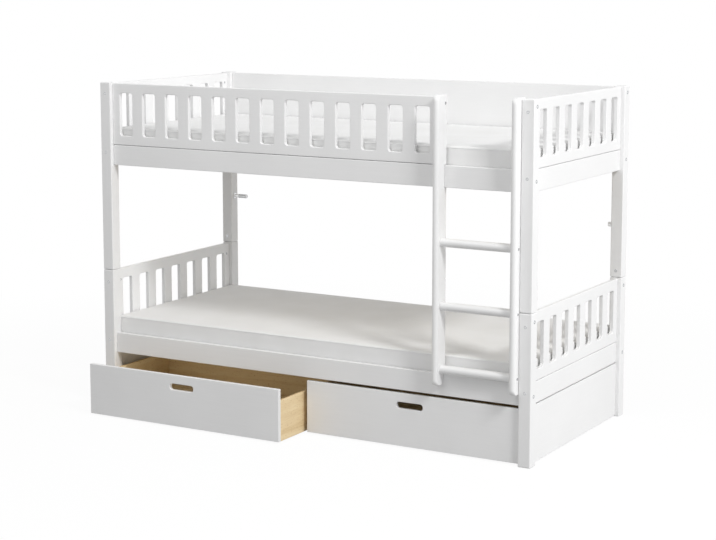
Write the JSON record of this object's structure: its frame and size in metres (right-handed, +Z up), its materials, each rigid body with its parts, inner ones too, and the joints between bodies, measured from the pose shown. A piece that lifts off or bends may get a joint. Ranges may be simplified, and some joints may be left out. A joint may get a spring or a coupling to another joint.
{
  "type": "bunk bed",
  "caption": "Low bunk bed with slotted guard and end panels, slatted bases, mattresses, a bolted ladder with round rungs, and two rolling drawers under the lower bunk.",
  "frame": {"origin": "on the floor, under the middle of the whole bed as it stands, with the left drawer pulled out", "axes": "+Z up, +X along the bed towards the ladder end, and the front with the ladder and the drawers faces -Y"},
  "size_m": [2.09, 1.172, 1.455],
  "materials": {
    "white_lacquer": "satin white lacquer on wood",
    "birch": "clear lacquered birch plywood",
    "pine": "planed pine",
    "mattress_cover": "fine white woven cotton",
    "steel": "zinc plated",
    "wheel_plastic": "moulded black plastic"
  },
  "bodies": {
    "bed_frame": {"lower_post_front_left": "white_lacquer", "upper_post_front_left": "white_lacquer", "post_dowel_front_left": "pine", "lower_post_front_right": "white_lacquer", "upper_post_front_right": "white_lacquer", "post_dowel_front_right": "pine", "lower_post_back_left": "white_lacquer", "upper_post_back_left": "white_lacquer", "post_dowel_back_left": "pine", "lower_post_back_right": "white_lacquer", "upper_post_back_right": "white_lacquer", "post_dowel_back_right": "pine", "lower_rail_front": "white_lacquer", "lower_rail_back": "white_lacquer", "upper_rail_front": "white_lacquer", "upper_rail_back": "white_lacquer", "guard_panel_front": "white_lacquer", "guard_board_back": "white_lacquer", "base_board_left": "white_lacquer", "lower_end_rail_left": "white_lacquer", "lower_end_panel_left": "white_lacquer", "upper_end_rail_left": "white_lacquer", "upper_end_panel_left": "white_lacquer", "base_board_right": "white_lacquer", "lower_end_rail_right": "white_lacquer", "lower_end_panel_right": "white_lacquer", "upper_end_rail_right": "white_lacquer", "upper_end_panel_right": "white_lacquer", "lower_bearer_front": "pine", "lower_bearer_back": "pine", "lower_slats": "pine", "lower_mattress": "mattress_cover", "upper_bearer_front": "pine", "upper_bearer_back": "pine", "upper_slats": "pine", "upper_mattress": "mattress_cover", "ladder_stile_left": "white_lacquer", "ladder_stile_right": "white_lacquer", "ladder_rung_1": "white_lacquer", "ladder_rung_2": "white_lacquer", "ladder_rung_3": "white_lacquer", "back_post_peg": "steel"},
    "drawer_left": {"drawer_front_left": "white_lacquer", "drawer_left_wall_left": "birch", "drawer_right_wall_left": "birch", "drawer_back_left": "birch", "drawer_floor_left": "birch"},
    "wheel_left_front_left": {"wheel_left_front_left": "wheel_plastic"},
    "wheel_left_front_right": {"wheel_left_front_right": "wheel_plastic"},
    "wheel_left_back_left": {"wheel_left_back_left": "wheel_plastic"},
    "wheel_left_back_right": {"wheel_left_back_right": "wheel_plastic"},
    "drawer_right": {"drawer_front_right": "white_lacquer", "drawer_left_wall_right": "birch", "drawer_right_wall_right": "birch", "drawer_back_right": "birch", "drawer_floor_right": "birch"},
    "wheel_right_front_left": {"wheel_right_front_left": "wheel_plastic"},
    "wheel_right_front_right": {"wheel_right_front_right": "wheel_plastic"},
    "wheel_right_back_left": {"wheel_right_back_left": "wheel_plastic"},
    "wheel_right_back_right": {"wheel_right_back_right": "wheel_plastic"}
  },
  "joints": [
    {"name": "drawer_left_slide", "type": "slide", "parent": "bed_frame", "child": "drawer_left", "axis": [0, -1, 0], "range_m": [-0.2, 0.35]},
    {"name": "wheel_left_front_left_spin", "type": "hinge", "parent": "drawer_left", "child": "wheel_left_front_left", "pos_m": [-0.8787, -0.4877, 0.016], "axis": [1, 0, 0], "range_deg": [-716.2, 1253.35]},
    {"name": "wheel_left_front_right_spin", "type": "hinge", "parent": "drawer_left", "child": "wheel_left_front_right", "pos_m": [-0.1153, -0.4877, 0.016], "axis": [1, 0, 0], "range_deg": [-716.2, 1253.35]},
    {"name": "wheel_left_back_left_spin", "type": "hinge", "parent": "drawer_left", "child": "wheel_left_back_left", "pos_m": [-0.8787, -0.11, 0.016], "axis": [1, 0, 0], "range_deg": [-716.2, 1253.35]},
    {"name": "wheel_left_back_right_spin", "type": "hinge", "parent": "drawer_left", "child": "wheel_left_back_right", "pos_m": [-0.1153, -0.11, 0.016], "axis": [1, 0, 0], "range_deg": [-716.2, 1253.35]},
    {"name": "drawer_right_slide", "type": "slide", "parent": "bed_frame", "child": "drawer_right", "axis": [0, -1, 0], "range_m": [0, 0.55]},
    {"name": "wheel_right_front_left_spin", "type": "hinge", "parent": "drawer_right", "child": "wheel_right_front_left", "pos_m": [0.1153, -0.2877, 0.016], "axis": [1, 0, 0], "range_deg": [0, 1969.54]},
    {"name": "wheel_right_front_right_spin", "type": "hinge", "parent": "drawer_right", "child": "wheel_right_front_right", "pos_m": [0.8787, -0.2877, 0.016], "axis": [1, 0, 0], "range_deg": [0, 1969.54]},
    {"name": "wheel_right_back_left_spin", "type": "hinge", "parent": "drawer_right", "child": "wheel_right_back_left", "pos_m": [0.1153, 0.09, 0.016], "axis": [1, 0, 0], "range_deg": [0, 1969.54]},
    {"name": "wheel_right_back_right_spin", "type": "hinge", "parent": "drawer_right", "child": "wheel_right_back_right", "pos_m": [0.8787, 0.09, 0.016], "axis": [1, 0, 0], "range_deg": [0, 1969.54]}
  ],
  "couplings": [
    {"joint": "wheel_left_front_left_spin", "follows": "drawer_left_slide", "rad_per_m": 62.5},
    {"joint": "wheel_left_front_right_spin", "follows": "drawer_left_slide", "rad_per_m": 62.5},
    {"joint": "wheel_left_back_left_spin", "follows": "drawer_left_slide", "rad_per_m": 62.5},
    {"joint": "wheel_left_back_right_spin", "follows": "drawer_left_slide", "rad_per_m": 62.5},
    {"joint": "wheel_right_front_left_spin", "follows": "drawer_right_slide", "rad_per_m": 62.5},
    {"joint": "wheel_right_front_right_spin", "follows": "drawer_right_slide", "rad_per_m": 62.5},
    {"joint": "wheel_right_back_left_spin", "follows": "drawer_right_slide", "rad_per_m": 62.5},
    {"joint": "wheel_right_back_right_spin", "follows": "drawer_right_slide", "rad_per_m": 62.5}
  ]
}
